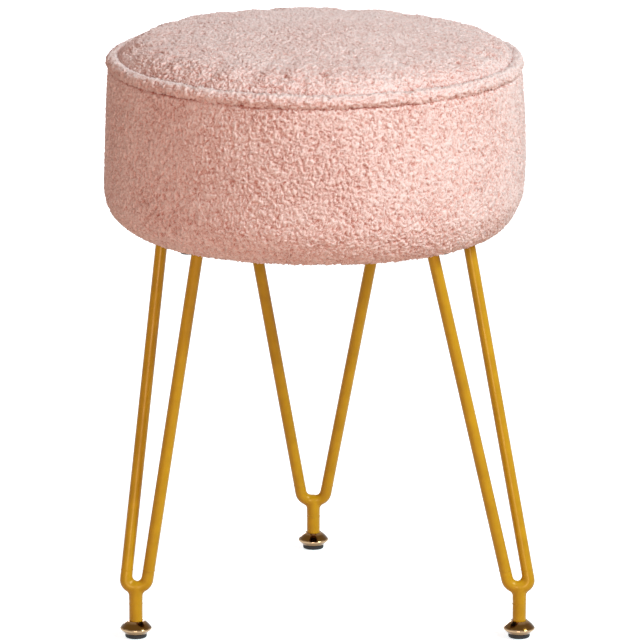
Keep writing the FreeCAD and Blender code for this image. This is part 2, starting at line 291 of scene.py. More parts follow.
# Wiring of finishes


class Graph:
    """A hand for wiring one node tree."""

    def __init__(self, tree: Tree) -> None:
        """Starts on a node tree."""
        self.tree = tree

    def add(self, kind: str, **settings: object) -> Node:
        """Adds a node and sets its properties."""
        node = self.tree.nodes.new(kind)
        for name, value in settings.items():
            setattr(node, name, value)
        return node

    def plug(self, value: object, socket: Socket) -> None:
        """Links a socket to an input, or sets a plain value on it."""
        if isinstance(value, Socket):
            self.tree.links.new(value, socket)
        else:
            socket.default_value = value

    def feed(self, node: Node, **inputs: object) -> Node:
        """Plugs values into a node's inputs, by name with _ for a space."""
        for name, value in inputs.items():
            self.plug(value, node.inputs[name.replace("_", " ")])
        return node

    def coords(self) -> Socket:
        """Object coordinates, in metres."""
        return self.add("ShaderNodeTexCoord").outputs["Object"]

    def stretch(self, vector: Socket, scale: Place) -> Socket:
        """The coordinates scaled apart in x, y and z."""
        node = self.feed(self.add("ShaderNodeMapping"), Vector=vector, Scale=scale)
        return node.outputs["Vector"]

    def noise(
        self, vector: Socket, scale: object, detail: float = 2.0, warp: float = 0.0
    ) -> Socket:
        """A noise value over the surface.

        Args:
            vector: the coordinates.
            scale: waves to the metre, a number or a socket.
            detail: the count of finer layers.
            warp: how far the noise twists itself.

        Returns:
            The value's socket, from 0 to 1.
        """
        node = self.add("ShaderNodeTexNoise")
        self.feed(node, Vector=vector, Scale=scale, Detail=detail, Distortion=warp)
        return node.outputs["Fac"]

    def cells(self, vector: Socket, scale: object) -> Socket:
        """Distance to the nearest cell point, with cells to the metre."""
        node = self.feed(self.add("ShaderNodeTexVoronoi"), Vector=vector, Scale=scale)
        return node.outputs["Distance"]

    def math(self, how: str, a: object, b: object = 0.0, c: object = 0.0) -> Socket:
        """One sum of up to three values."""
        node = self.add("ShaderNodeMath", operation=how)
        for socket, value in zip(node.inputs, (a, b, c)):
            self.plug(value, socket)
        return node.outputs[0]

    def span(self, value: Socket, source: Point, target: Point = (0.0, 1.0)) -> Socket:
        """A value carried from one range to another, held at its ends."""
        node = self.feed(
            self.add("ShaderNodeMapRange"),
            Value=value,
            From_Min=source[0],
            From_Max=source[1],
            To_Min=target[0],
            To_Max=target[1],
        )
        return node.outputs["Result"]

    def ramp(self, value: Socket, stops: Sequence[tuple[float, Colour]]) -> Socket:
        """Colours by a value, through a row of stops."""
        node = self.add("ShaderNodeValToRGB")
        elements = node.color_ramp.elements
        while len(elements) < len(stops):
            elements.new(1.0)
        for element, (place, colour) in zip(elements, stops):
            element.position = place
            element.color = (*colour, 1.0)
        self.feed(node, Fac=value)
        return node.outputs["Color"]

    def bump(self, height: Socket, depth: float, strength: float) -> Socket:
        """A normal from a height.

        Args:
            height: the height's socket, from 0 to 1.
            depth: what 1 stands for, in metres.
            strength: how much of it shows.

        Returns:
            The normal's socket.
        """
        node = self.add("ShaderNodeBump")
        self.feed(node, Height=height, Distance=depth, Strength=strength)
        return node.outputs["Normal"]


class Effects:
    """Effects that several finishes share, each a node group that is made once."""

    @staticmethod
    def _group(
        name: str, inputs: Sequence[str], outputs: Sequence[str]
    ) -> tuple[Tree, Graph, Node, Node]:
        """An empty group that takes coordinates and numbers and gives numbers.

        Args:
            name: the group's name.
            inputs: the name of each number it takes beside the coordinates.
            outputs: the name of each number it gives.

        Returns:
            The tree, its graph, and its input and output nodes.
        """
        tree = bpy.data.node_groups.new(name, "ShaderNodeTree")
        tree.interface.new_socket("Vector", in_out="INPUT", socket_type="NodeSocketVector")
        for way, labels in (("INPUT", inputs), ("OUTPUT", outputs)):
            for label in labels:
                tree.interface.new_socket(label, in_out=way, socket_type="NodeSocketFloat")
        graph = Graph(tree)
        return tree, graph, graph.add("NodeGroupInput"), graph.add("NodeGroupOutput")

    @staticmethod
    def handling() -> Tree:
        """Smudges, fine scratches and a faint ripple, as on painted or plated metal."""
        name = "handling_marks"
        if name in bpy.data.node_groups:
            return bpy.data.node_groups[name]
        inputs, outputs = ["Ripple", "Low", "High"], ["Roughness", "Height"]
        tree, g, start, end = Effects._group(name, inputs, outputs)
        vector = start.outputs["Vector"]
        smudge = g.span(g.noise(vector, scale=42.0, detail=4.0, warp=0.6), (0.36, 0.66))
        drawn = g.stretch(vector, (1.0, 1.0, 0.08))
        scratch = g.span(g.noise(drawn, scale=1500.0), (0.60, 0.72))
        marks = g.math("MULTIPLY_ADD", scratch, 0.35, g.math("MULTIPLY", smudge, 0.65))
        width = g.math("SUBTRACT", start.outputs["High"], start.outputs["Low"])
        rough = g.math("MULTIPLY_ADD", marks, width, start.outputs["Low"])
        peel = g.noise(vector, start.outputs["Ripple"], detail=1.0)
        g.feed(end, Roughness=rough, Height=peel)
        return tree

    @staticmethod
    def fibres() -> Tree:
        """Tangled fine fibres, as in felt, yarn and non-woven cloth."""
        name = "tangled_fibres"
        if name in bpy.data.node_groups:
            return bpy.data.node_groups[name]
        tree, g, start, end = Effects._group(name, ["Scale"], ["Tone", "Height"])
        vector, scale = start.outputs["Vector"], start.outputs["Scale"]
        curls = g.noise(vector, scale, detail=3.0, warp=2.4)
        drawn = g.stretch(vector, (1.0, 0.35, 1.6))
        hairs = g.noise(drawn, g.math("MULTIPLY", scale, 1.7), warp=1.2)
        tangle = g.math("MULTIPLY_ADD", curls, 0.6, g.math("MULTIPLY", hairs, 0.4))
        g.feed(end, Tone=g.span(tangle, (0.33, 0.67)), Height=tangle)
        return tree


@dataclass(frozen=True)
class Finish:
    """One surface finish: a procedural material with its constants on the shader."""

    slot: Slot
    metallic: float = 0.0
    specular: float = 0.5
    roughness: float = 0.5
    sheen: float = 0.0
    sheen_tint: Colour = (1.0, 1.0, 1.0)
    sheen_roughness: float = 0.42

    def material(self) -> Material:
        """Makes the material once.

        Returns:
            The material, named for the slot.
        """
        name = self.slot.value
        if name in bpy.data.materials and bpy.data.materials[name].get("dressed"):
            return bpy.data.materials[name]
        made = bpy.data.materials.new(name)
        made["dressed"] = True
        made.use_nodes = True
        g = Graph(made.node_tree)
        shader = made.node_tree.nodes["Principled BSDF"]
        g.feed(
            shader,
            Metallic=self.metallic,
            Specular_IOR_Level=self.specular,
            Roughness=self.roughness,
            Sheen_Weight=self.sheen,
            Sheen_Tint=(*self.sheen_tint, 1.0),
            Sheen_Roughness=self.sheen_roughness,
        )
        self.paint(g, shader)
        return made

    def paint(self, g: Graph, shader: Node) -> None:
        """Wires what changes over the surface, which each finish does its own way."""
        raise NotImplementedError

    def handled(
        self, g: Graph, shader: Node, depth: float, strength: float, **marks: float
    ) -> None:
        """Roughens a hard finish by handling.

        Args:
            g: the material's graph.
            shader: its shader.
            depth: the ripple's depth, in metres.
            strength: how much of the ripple shows.
            marks: the ripple's waves to the metre, and the lowest and highest roughness.
        """
        node = self.effect(g, Effects.handling(), **marks)
        normal = g.bump(node.outputs["Height"], depth, strength)
        g.feed(shader, Roughness=node.outputs["Roughness"], Normal=normal)

    def effect(self, g: Graph, tree: Tree, **inputs: object) -> Node:
        """Places a shared effect with this finish's own values."""
        return g.feed(g.add("ShaderNodeGroup", node_tree=tree), Vector=g.coords(), **inputs)


@dataclass(frozen=True)
class BoucleFinish(Finish):
    """Curly looped pile, with painted light and shade: deep red-brown painted shade between the
    loops and pale painted light on the crests.
    """

    slot: Slot = Slot.BOUCLE
    roughness: float = 0.92
    specular: float = 0.22
    sheen: float = 0.28
    sheen_tint: Colour = (1.0, 0.90, 0.87)
    # painted light and shade: the colours run from the crevices, painted dark as if in shadow, to
    # the crests, painted pale as if lit
    pit_painted_shade: Colour = (0.36, 0.095, 0.065)
    root: Colour = (0.68, 0.37, 0.325)
    loop: Colour = (0.89, 0.675, 0.65)
    crest: Colour = (0.96, 0.82, 0.81)
    curls_per_metre: float = 760.0
    curl_depth: float = 0.9 * MM
    curl_share: float = 0.50
    patches_per_metre: float = 26.0
    patchiness: float = 0.05

    def paint(self, g: Graph, shader: Node) -> None:
        """Colours the pile by its height, painting shade into the crevices and light onto the
        crests, and roughens it with curls.
        """
        pile = g.add("ShaderNodeAttribute", attribute_name="pile").outputs["Fac"]
        fibres = self.effect(g, Effects.fibres(), Scale=self.curls_per_metre)
        patch = g.noise(g.coords(), self.patches_per_metre, detail=3.0)
        nub = g.math("MULTIPLY", pile, 1.0 - self.curl_share)
        tone = g.math("MULTIPLY_ADD", fibres.outputs["Tone"], self.curl_share, nub)
        tone = g.math("ADD", tone, g.span(patch, (0.3, 0.7), (-self.patchiness, self.patchiness)))
        # low stops are painted shade and high stops painted light; the pile attribute also carries
        # painted shade in the seams
        stops = [(0.08, self.pit_painted_shade), (0.32, self.root), (0.53, self.loop), (0.80, self.crest)]
        g.feed(
            shader,
            Base_Color=g.ramp(tone, stops),
            Normal=g.bump(fibres.outputs["Height"], self.curl_depth, strength=0.75),
        )


@dataclass(frozen=True)
class PaintFinish(Finish):
    """Satin gold paint on bent rod."""

    slot: Slot = Slot.GOLD_PAINT
    metallic: float = 0.05
    specular: float = 0.22
    deep: Colour = (0.45, 0.235, 0.003)
    pale: Colour = (0.54, 0.295, 0.006)
    clouds_per_metre: float = 75.0

    def paint(self, g: Graph, shader: Node) -> None:
        """Varies the tone a little and lays a faint orange peel over it."""
        self.handled(g, shader, 0.12 * MM, 0.18, Ripple=620.0, Low=0.30, High=0.44)
        flow = g.span(g.noise(g.coords(), self.clouds_per_metre, detail=3.0), (0.3, 0.7))
        g.feed(shader, Base_Color=g.ramp(flow, [(0.0, self.deep), (1.0, self.pale)]))


@dataclass(frozen=True)
class PlatedFinish(Finish):
    """Polished antique brass plating."""

    slot: Slot = Slot.PLATED_BRASS
    metallic: float = 1.0
    # dark is painted reflection: the upper cone darkened as if it mirrored dark surroundings
    dark: Colour = (0.105, 0.048, 0.010)
    middle: Colour = (0.27, 0.155, 0.068)
    rim_painted_highlight: Colour = (0.58, 0.40, 0.24)
    low: float = 3.2 * MM
    high: float = 12.6 * MM
    streaks_per_metre: float = 210.0

    def paint(self, g: Graph, shader: Node) -> None:
        """Paints the upper cone dark as a painted reflection of dark surroundings, paints a light
        band at the rim as a painted highlight, and smudges the polish.
        """
        self.handled(g, shader, 0.10 * MM, 0.10, Ripple=240.0, Low=0.09, High=0.22)
        coords = g.coords()
        height = g.feed(g.add("ShaderNodeSeparateXYZ"), Vector=coords).outputs["Z"]
        drawn = g.stretch(coords, (1.0, 1.0, 0.3))
        streak = g.noise(drawn, self.streaks_per_metre, warp=0.6)
        level = g.span(height, (self.low, self.high))
        level = g.math("ADD", level, g.span(streak, (0.3, 0.7), (-0.03, 0.03)))
        # by height: middle on the lower cone, a painted highlight at the rim, painted dark
        # reflection on the upper cone
        stops = [
            (0.0, self.middle),
            (0.28, self.middle),
            (0.38, self.rim_painted_highlight),
            (0.50, self.dark),
            (0.82, self.dark),
            (1.0, self.middle),
        ]
        g.feed(shader, Base_Color=g.ramp(level, stops))


@dataclass(frozen=True)
class SteelFinish(Finish):
    """Zinc-plated or blackened steel fittings."""

    slot: Slot = Slot.ZINC
    metallic: float = 1.0
    dull: Colour = (0.42, 0.43, 0.44)
    clean: Colour = (0.62, 0.63, 0.63)
    spangles_per_metre: float = 420.0

    def paint(self, g: Graph, shader: Node) -> None:
        """Mottles the plating, as passivated zinc and oil black are."""
        self.handled(g, shader, 0.06 * MM, 0.15, Ripple=900.0, Low=0.24, High=0.46)
        spangle = g.span(g.cells(g.coords(), self.spangles_per_metre), (0.1, 0.7))
        g.feed(shader, Base_Color=g.ramp(spangle, [(0.0, self.dull), (1.0, self.clean)]))


@dataclass(frozen=True)
class RubberFinish(Finish):
    """Moulded black rubber pads."""

    slot: Slot = Slot.RUBBER
    specular: float = 0.4
    dark: Colour = (0.010, 0.009, 0.009)
    dusty: Colour = (0.028, 0.026, 0.025)
    grains_per_metre: float = 2600.0
    dust_per_metre: float = 180.0

    def paint(self, g: Graph, shader: Node) -> None:
        """A fine moulded grain with a little dust in it."""
        grain = g.noise(g.coords(), self.grains_per_metre)
        dust = g.span(g.noise(g.coords(), self.dust_per_metre, detail=4.0), (0.45, 0.75))
        g.feed(
            shader,
            Base_Color=g.ramp(dust, [(0.0, self.dark), (1.0, self.dusty)]),
            Roughness=g.span(dust, (0.0, 1.0), (0.55, 0.75)),
            Normal=g.bump(grain, depth=0.08 * MM, strength=0.35),
        )


@dataclass(frozen=True)
class NonWovenFinish(Finish):
    """Thin black spun-bonded cloth with its pin-point bonds."""

    slot: Slot = Slot.DUST_CLOTH
    roughness: float = 0.82
    specular: float = 0.25
    sheen: float = 0.12
    dark: Colour = (0.012, 0.012, 0.013)
    light: Colour = (0.055, 0.054, 0.055)
    fibres_per_metre: float = 900.0
    bonds_per_metre: float = 620.0

    def paint(self, g: Graph, shader: Node) -> None:
        """Lays tangled fibres under a grid of small pressed dots."""
        fibres = self.effect(g, Effects.fibres(), Scale=self.fibres_per_metre)
        turned = g.add("ShaderNodeMapping")
        g.feed(turned, Vector=g.coords(), Rotation=(0.0, 0.0, math.radians(45.0)))
        dots = g.add("ShaderNodeTexVoronoi", voronoi_dimensions="2D")
        g.feed(dots, Vector=turned.outputs["Vector"], Scale=self.bonds_per_metre, Randomness=0.0)
        pressed = g.span(dots.outputs["Distance"], (0.18, 0.30))
        plain = g.math("MULTIPLY", pressed, 0.6)
        height = g.math("MULTIPLY_ADD", fibres.outputs["Height"], 0.4, plain)
        tone = g.math("MULTIPLY", fibres.outputs["Tone"], g.span(pressed, (0.0, 1.0), (0.45, 1.0)))
        g.feed(
            shader,
            Base_Color=g.ramp(tone, [(0.0, self.dark), (1.0, self.light)]),
            Normal=g.bump(height, depth=0.15 * MM, strength=0.6),
        )


@dataclass(frozen=True)
class PlywoodFinish(Finish):
    """Birch plywood, with its face grain and layered edge."""

    slot: Slot = Slot.PLYWOOD
    roughness: float = 0.62
    early: Colour = (0.66, 0.46, 0.27)
    late: Colour = (0.47, 0.29, 0.15)
    layers_per_metre: float = 715.0
    grain_per_metre: float = 420.0

    def paint(self, g: Graph, shader: Node) -> None:
        """Runs the grain along X and bands the layers by height."""
        coords = g.coords()
        drawn = g.stretch(coords, (0.05, 1.0, 1.0))
        grain = g.noise(drawn, self.grain_per_metre, detail=4.0, warp=0.5)
        height = g.feed(g.add("ShaderNodeSeparateXYZ"), Vector=coords).outputs["Z"]
        layer = g.math("PINGPONG", g.math("MULTIPLY", height, self.layers_per_metre), 1.0)
        tone = g.math("MULTIPLY_ADD", layer, 0.35, g.math("MULTIPLY", grain, 0.65))
        g.feed(
            shader,
            Base_Color=g.ramp(tone, [(0.25, self.late), (0.7, self.early)]),
            Normal=g.bump(grain, depth=0.2 * MM, strength=0.25),
        )


@dataclass(frozen=True)
class FoamFinish(Finish):
    """Open-cell foam."""

    slot: Slot = Slot.FOAM
    roughness: float = 0.95
    specular: float = 0.1
    pore: Colour = (0.52, 0.45, 0.30)
    skin: Colour = (0.80, 0.74, 0.58)
    cells_per_metre: float = 900.0

    def paint(self, g: Graph, shader: Node) -> None:
        """Pits the foam with cells."""
        cell = g.cells(g.coords(), self.cells_per_metre)
        g.feed(
            shader,
            Base_Color=g.ramp(cell, [(0.15, self.pore), (0.6, self.skin)]),
            Normal=g.bump(cell, depth=0.8 * MM, strength=0.5),
        )


@dataclass(frozen=True)
class CordFinish(Finish):
    """Twisted cotton piping cord."""

    slot: Slot = Slot.CORD
    roughness: float = 0.9
    specular: float = 0.15
    shade: Colour = (0.55, 0.49, 0.40)
    light: Colour = (0.82, 0.78, 0.69)
    fibres_per_metre: float = 1100.0

    def paint(self, g: Graph, shader: Node) -> None:
        """Frays the cord with tangled fibres."""
        fibres = self.effect(g, Effects.fibres(), Scale=self.fibres_per_metre)
        g.feed(
            shader,
            Base_Color=g.ramp(fibres.outputs["Tone"], [(0.0, self.shade), (1.0, self.light)]),
            Normal=g.bump(fibres.outputs["Height"], depth=0.4 * MM, strength=0.5),
        )


BOUCLE = BoucleFinish()
GOLD = PaintFinish()
BRASS = PlatedFinish()
ZINC = SteelFinish()
BLACK = SteelFinish(Slot.BLACK_STEEL, dull=(0.020, 0.020, 0.021), clean=(0.055, 0.055, 0.057))
RUBBER = RubberFinish()
DUST_CLOTH = NonWovenFinish()
PLYWOOD = PlywoodFinish()
FOAM = FoamFinish()
CORD = CordFinish()


# The seat


@dataclass(frozen=True)
class Pile:
    """The looped pile as real relief: nubs of yarn with crevices between them."""

    nub: float = 2.1 * MM
    relief: float = 2.3 * MM
    twist: float = 0.8
    twist_pace: float = 0.7
    curl_pinch: float = 3.2
    curl_share: float = 0.55
    dome_pace: float = 0.9
    dome_reach: float = 0.8
    sink: float = 0.42
    seam_relief: float = 0.35
    # painted shade: how far the recorded height drops in a seam, to darken its crease
    seam_painted_shade: float = 0.25

    def heights(self, points: np.ndarray) -> np.ndarray:
        """The pile's height at each point.

        Args:
            points: places on the cover, in metres.

        Returns:
            Heights from 0 in a crevice to 1 on a crest.
        """
        out = np.empty(len(points))
        for i, place in enumerate(points / self.nub):
            spot = Vector(place)
            spot += self.twist * noise.noise_vector(spot * self.twist_pace)
            curl = 1.0 - min(abs(noise.noise(spot)) * self.curl_pinch, 1.0)
            nearest = noise.voronoi(spot * self.dome_pace)[0][0]
            dome = 1.0 - min(nearest / self.dome_reach, 1.0) ** 2
            out[i] = self.curl_share * curl + (1.0 - self.curl_share) * dome
        return np.clip(out, 0.0, 1.0)

    def raise_on(
        self,
        obj: Thing,
        seam: np.ndarray,
        amount: float = 1.0,
        tone_lift_and_painted_light: np.ndarray | float = 0.0,
    ) -> None:
        """Lifts the nubs out of a cover and records their height for the finish, with painted
        shade in the seams.

        Args:
            obj: the cover piece, with even small faces.
            seam: for each vertex, 0 in a seam to 1 away from it; it flattens the relief and
                darkens the colour there as painted shade.
            amount: a share of the full relief.
            tone_lift_and_painted_light: what is added to the recorded height: a small lift in
                tone, plus painted light and shade that make the welt lighter on top and darker
                underneath.
        """
        points = Bench.points(obj)
        height = self.heights(points)
        kept = self.seam_relief + (1.0 - self.seam_relief) * seam
        lift = (height - self.sink) * self.relief * amount * kept
        Bench.place(obj, points + Bench.normals(obj) * lift[:, None])
        # painted shade in the seams: the recorded height falls to the dark end of the ramp where
        # the crease would be in shadow
        values = height * seam - self.seam_painted_shade * (1.0 - seam) + tone_lift_and_painted_light
        layer = obj.data.attributes.new("pile", "FLOAT", "POINT")
        layer.data.foreach_set("value", values.astype(np.float32))


@dataclass(frozen=True)
class Settling:
    """How the filling has settled under the cover, and the seam with it."""

    waves: tuple[Point, ...] = ((0.7 * MM, 11.0), (0.35 * MM, 31.0))
    peak: float = 1.4 * MM
    peak_width: float = 55 * MM
    shoulder: float = 0.3 * MM
    shoulder_right: float = 2.7 * MM
    shoulder_least: float = -0.4 * MM
    shoulder_radius: float = 140 * MM
    shoulder_width: float = 7 * MM
    dip: float = 0.25 * MM
    dip_right: float = 0.75 * MM
    tuck: float = 0.6 * MM
    tuck_right: float = 1.6 * MM
    tuck_top: float = 345 * MM
    tuck_run: float = 40 * MM
    roll_height: float = 298 * MM
    roll_run: float = 12 * MM
    roll_least: float = -0.25
    seam_rise: float = 1.6 * MM
    seam_reach: float = 22 * MM
    puff: float = 1.1
    puff_bearing: float = 0.5
    puff_width: float = 0.5

    def lumps(self, points: np.ndarray, seam: float, crown_radius: float) -> np.ndarray:
        """Unevenness of the filling: a peak, fuller shoulders, and a tuck low on the right.

        Args:
            points: places on the cover, in metres.
            seam: the seam's height.
            crown_radius: where the crown turns into its shoulders.

        Returns:
            How far each place stands out of the drawn outline, in metres.
        """
        out = np.empty(len(points))
        for i, place in enumerate(points):
            spot = Vector(place)
            out[i] = sum(size * noise.noise(spot * pace) for size, pace in self.waves)
        across, bearing = Bench.polar(points)
        right, height = np.cos(bearing), points[:, 2]
        full = np.maximum(self.shoulder + self.shoulder_right * right, self.shoulder_least)
        full *= Bench.bell(across - self.shoulder_radius, self.shoulder_width)
        peak = self.peak * Bench.bell(across, self.peak_width)
        dip = (self.dip + self.dip_right * right) * across / crown_radius
        tuck = np.clip((self.tuck_top - height) / self.tuck_run, 0.0, 1.0)
        tuck *= np.clip((height - self.roll_height) / self.roll_run, self.roll_least, 1.0)
        tuck *= self.tuck + self.tuck_right * right
        return out + (height > seam + MM) * (full + peak - dip) - tuck

    def tilt(self, points: np.ndarray, seam: float, radius: float) -> np.ndarray:
        """How far the seam stands above level: on the left, and behind on the right.

        Args:
            points: places on the cover, in metres.
            seam: the seam's height.
            radius: the seam's radius.

        Returns:
            The rise at each place, in metres.
        """
        across, bearing = Bench.polar(points)
        near = Bench.bell(points[:, 2] - seam, self.seam_reach)
        near *= np.clip(across / radius, 0.0, 1.0) ** 4
        left = np.clip(-np.cos(bearing), 0.0, 1.0)
        puff = self.puff * Bench.bell(bearing - self.puff_bearing, self.puff_width)
        return self.seam_rise * (left + puff) * near


@dataclass
class SeatCover:
    """The sewn cover: crowned top panel, side band that turns under, and welt."""

    radius: float = 155 * MM
    edge_radius: float = 152 * MM
    bottom: float = 295 * MM
    round_top: float = 325 * MM
    board_radius: float = 136 * MM
    welt_height: float = 416 * MM
    welt_radius: float = 148.5 * MM
    welt_thick: float = 9.2 * MM
    seam_radius: float = 145.3 * MM
    apex: float = 441.5 * MM
    crown_radius: float = 118 * MM
    crown_drop: float = 7 * MM
    hem_radius: float = 124 * MM
    voxel: float = 3.0 * MM
    slack: float = 3.0 * MM
    edge_drop: float = 6.5 * MM
    groove: tuple[Point, ...] = ((1.6 * MM, 4.2 * MM), (4.5 * MM, 2.4 * MM))
    seam_drop: float = 1.2 * MM
    seam_step: Point = (0.2 * MM, 1.8 * MM)
    seam_hold: float = 6 * MM
    seam_flat: float = 4.0 * MM
    seam_fade: float = 2.6 * MM
    cut_above: float = 0.6 * MM
    cut_below: float = 0.4 * MM
    board_hold: float = 4 * MM
    hem_depth: float = 6 * MM
    pole: float = 2 * MM
    sides: int = 128
    bands: int = 260
    cap: float = 7.0 * MM
    pressure: float = 4.0
    quality: int = 6
    weight: float = 0.35
    stiffness: float = 18.0
    bending: float = 0.6
    frames: int = 20
    swell: Point = (0.10, 90.0)
    sway: Point = (0.5 * MM, 24.0)
    welt_relief: float = 1.2
    welt_pale: float = 0.02
    # painted light and shade on the welt: its top painted lighter and its underside darker
    welt_painted_light: float = 0.12
    pile: Pile = Pile()
    settling: Settling = Settling()

    def _arc(self, start: Point, heading: float, end: Point, count: int) -> list[Point]:
        """Points on the arc that leaves a point in a direction and reaches another.

        Args:
            start: the first point, radius and height.
            heading: the direction there, in radians above outwards.
            end: the last point.
            count: how many points, the last one included and the first not.

        Returns:
            The points in order.
        """
        dx, dz = end[0] - start[0], end[1] - start[1]
        chord = math.atan2(dz, dx)
        turn = 2.0 * (chord - heading)
        length = math.hypot(dx, dz)
        out = []
        for i in range(1, count + 1):
            share = i / count
            step = length * math.sin(turn * share / 2) / math.sin(turn / 2)
            angle = heading + turn * share / 2
            out.append((start[0] + step * math.cos(angle), start[1] + step * math.sin(angle)))
        return out

    def profile(self) -> list[Point]:
        """The cover's outline, from the hem under the board up to the middle of the crown."""
        rim = (self.board_radius, self.bottom)
        wide = (self.radius, self.round_top)
        edge = (self.edge_radius, self.welt_height - self.edge_drop)
        lower = [rim] + self._arc(wide, -math.pi / 2, rim, 10)[-2::-1] + [wide]
        side = self._arc(wide, math.pi / 2, edge, 16)
        seam = [(self.edge_radius - inset, self.welt_height - down) for inset, down in self.groove]
        seam.append((self.seam_radius, self.welt_height - self.seam_drop))
        crown = [
            (self.crown_radius * share, self.apex - self.crown_drop * share * share)
            for share in np.linspace(0.02, 1.0, 14)
        ]
        slope = -2.0 * self.crown_drop / self.crown_radius
        foot = (self.seam_radius + self.seam_step[0], self.welt_height + self.seam_step[1])
        shoulder = self._arc(crown[-1], math.atan(slope), foot, 10)
        under = [(self.hem_radius * 0.9, self.bottom)]
        return under + lower + side + seam + (crown + shoulder)[::-1]

    def _spread(self, across: np.ndarray, height: np.ndarray) -> tuple[np.ndarray, np.ndarray]:
        """Distance from the middle of the seat's axis and angle above level of each place."""
        rise = height - self._middle()
        return np.hypot(across, rise), np.arctan2(rise, across)

    def _middle(self) -> float:
        """The height that the outline is seen from."""
        return (self.bottom + self.apex) / 2

    def _fit(self, obj: Thing) -> None:
        """Brings the filled cover's mean outline onto the drawn one, and keeps its unevenness."""
        goal_reach, goal_rise = self._spread(*np.array(self.profile()).T)
        order = np.argsort(goal_rise)
        points = Bench.points(obj)
        reach, rise = self._spread(Bench.polar(points)[0], points[:, 2])
        bins = np.linspace(rise.min(), rise.max(), self.bands)
        index = np.clip(np.digitize(rise, bins) - 1, 0, len(bins) - 2)
        total = np.bincount(index, reach, len(bins) - 1)
        count = np.maximum(np.bincount(index, minlength=len(bins) - 1), 1)
        filled = np.where(total > 0, total / count, np.nan)
        middles = (bins[:-1] + bins[1:]) / 2
        good = ~np.isnan(filled)
        mean = np.interp(rise, middles[good], filled[good])
        goal = np.interp(rise, goal_rise[order], goal_reach[order])
        centre = np.array([AXIS_X, AXIS_Y, self._middle()])
        Bench.place(obj, centre + (points - centre) * (goal / mean)[:, None])

    def _fill(self) -> Thing:
        """Makes the closed form and fills it like a cushion, held at the seam and the board.

        Returns:
            The filled form.
        """
        rings = [(r - (self.slack if z > self.bottom else 0), z) for r, z in self.profile()[1:]]
        rings = [(max(r, self.pole), z) for r, z in rings]
        form = Bench.turn("seat_form", rings, self.sides, (AXIS_X, AXIS_Y))
        Bench.apply(form, "REMESH", mode="VOXEL", voxel_size=self.voxel, use_smooth_shade=True)
        before = Bench.points(form)
        across, _ = Bench.polar(before)
        height = before[:, 2]
        sewn = np.hypot(across - self.seam_radius, height - self.welt_height) < self.seam_hold
        sewn |= height < self.bottom + self.board_hold
        held = form.vertex_groups.new(name="sewn")
        held.add(np.flatnonzero(sewn).tolist(), 1.0, "REPLACE")
        Bench.take(form)
        cloth = form.modifiers.new("fill", "CLOTH")
        cloth.settings.vertex_group_mass = held.name
        cloth.settings.quality = self.quality
        cloth.settings.mass = self.weight
        cloth.settings.tension_stiffness = self.stiffness
        cloth.settings.compression_stiffness = self.stiffness
        cloth.settings.bending_stiffness = self.bending
        cloth.settings.use_pressure = True
        cloth.settings.uniform_pressure_force = self.pressure
        cloth.settings.effector_weights.gravity = 0.0
        cloth.collision_settings.use_collision = False
        scene = bpy.context.scene
        for step in range(1, self.frames + 1):
            scene.frame_set(step)
        bpy.ops.object.modifier_apply(modifier=cloth.name)
        scene.frame_set(1)
        shift = Bench.points(form) - before
        far = np.linalg.norm(shift, axis=1)
        share = np.minimum(1.0, self.cap / np.maximum(far, TINY))
        Bench.place(form, before + shift * share[:, None])
        return form

    def _cut(self, form: Thing, name: str, keep_top: bool) -> Thing:
        """Cuts one panel out of the filled form at the seam.

        Args:
            form: the filled form.
            name: the panel's name.
            keep_top: True for the crown, False for the band.

        Returns:
            The panel, open at its seams.
        """
        panel = Bench.twin(form, name)
        off = self.cut_above if keep_top else -self.cut_below
        with Bench.edit(panel):
            bpy.ops.mesh.select_all(action="SELECT")
            bpy.ops.mesh.bisect(
                plane_co=(0, 0, self.welt_height + off),
                plane_no=(0, 0, 1),
                clear_inner=keep_top,
                clear_outer=not keep_top,
            )
        if not keep_top:
            points = Bench.points(panel)
            across, _ = Bench.polar(points)
            low = points[:, 2] < self.bottom + self.hem_depth
            with Bench.edit(panel):
                Bench.pick(panel, (across < self.hem_radius) & low)
                bpy.ops.mesh.delete(type="VERT")
        return panel

    def _close(self, panel: Thing, bridge: bool) -> None:
        """Closes a panel on its hidden side.

        Args:
            panel: the open panel.
            bridge: True to join its two open edges, False to cap its one.
        """
        with Bench.edit(panel, "EDGE"):
            Bench.pick_rims()
            if bridge:
                bpy.ops.mesh.bridge_edge_loops()
            else:
                bpy.ops.mesh.edge_face_add()
            bpy.ops.mesh.select_all(action="SELECT")
            bpy.ops.mesh.normals_make_consistent(inside=False)

    def _welt(self) -> Thing:
        """Rolls the welt as a ring of covered cord, a little uneven as sewn work is."""
        Bench.clear()
        bpy.ops.mesh.primitive_torus_add(
            location=(AXIS_X, AXIS_Y, self.welt_height),
            major_radius=self.welt_radius,
            minor_radius=self.welt_thick / 2,
            major_segments=256,
            minor_segments=10,
        )
        welt = bpy.context.object
        welt.name = "seat_welt"
        Bench.settle(welt)
        Bench.apply(welt, "SUBSURF", levels=2, render_levels=2)
        points = Bench.points(welt)
        _, bearing = Bench.polar(points)
        ring = np.stack([np.cos(bearing), np.sin(bearing), np.zeros(len(points))], 1)
        ring = ring * self.welt_radius + np.array([AXIS_X, AXIS_Y, self.welt_height])
        thick = np.empty(len(points))
        for i, place in enumerate(ring):
            thick[i] = 1.0 + self.swell[0] * noise.noise(Vector(place) * self.swell[1])
        out = (points - ring) / np.linalg.norm(points - ring, axis=1)[:, None]
        sway = np.array([noise.noise_vector(Vector(place) * self.sway[1]) for place in ring])
        rolled = ring + out * (thick * self.welt_thick / 2)[:, None]
        Bench.place(welt, rolled + sway * self.sway[0])
        return welt

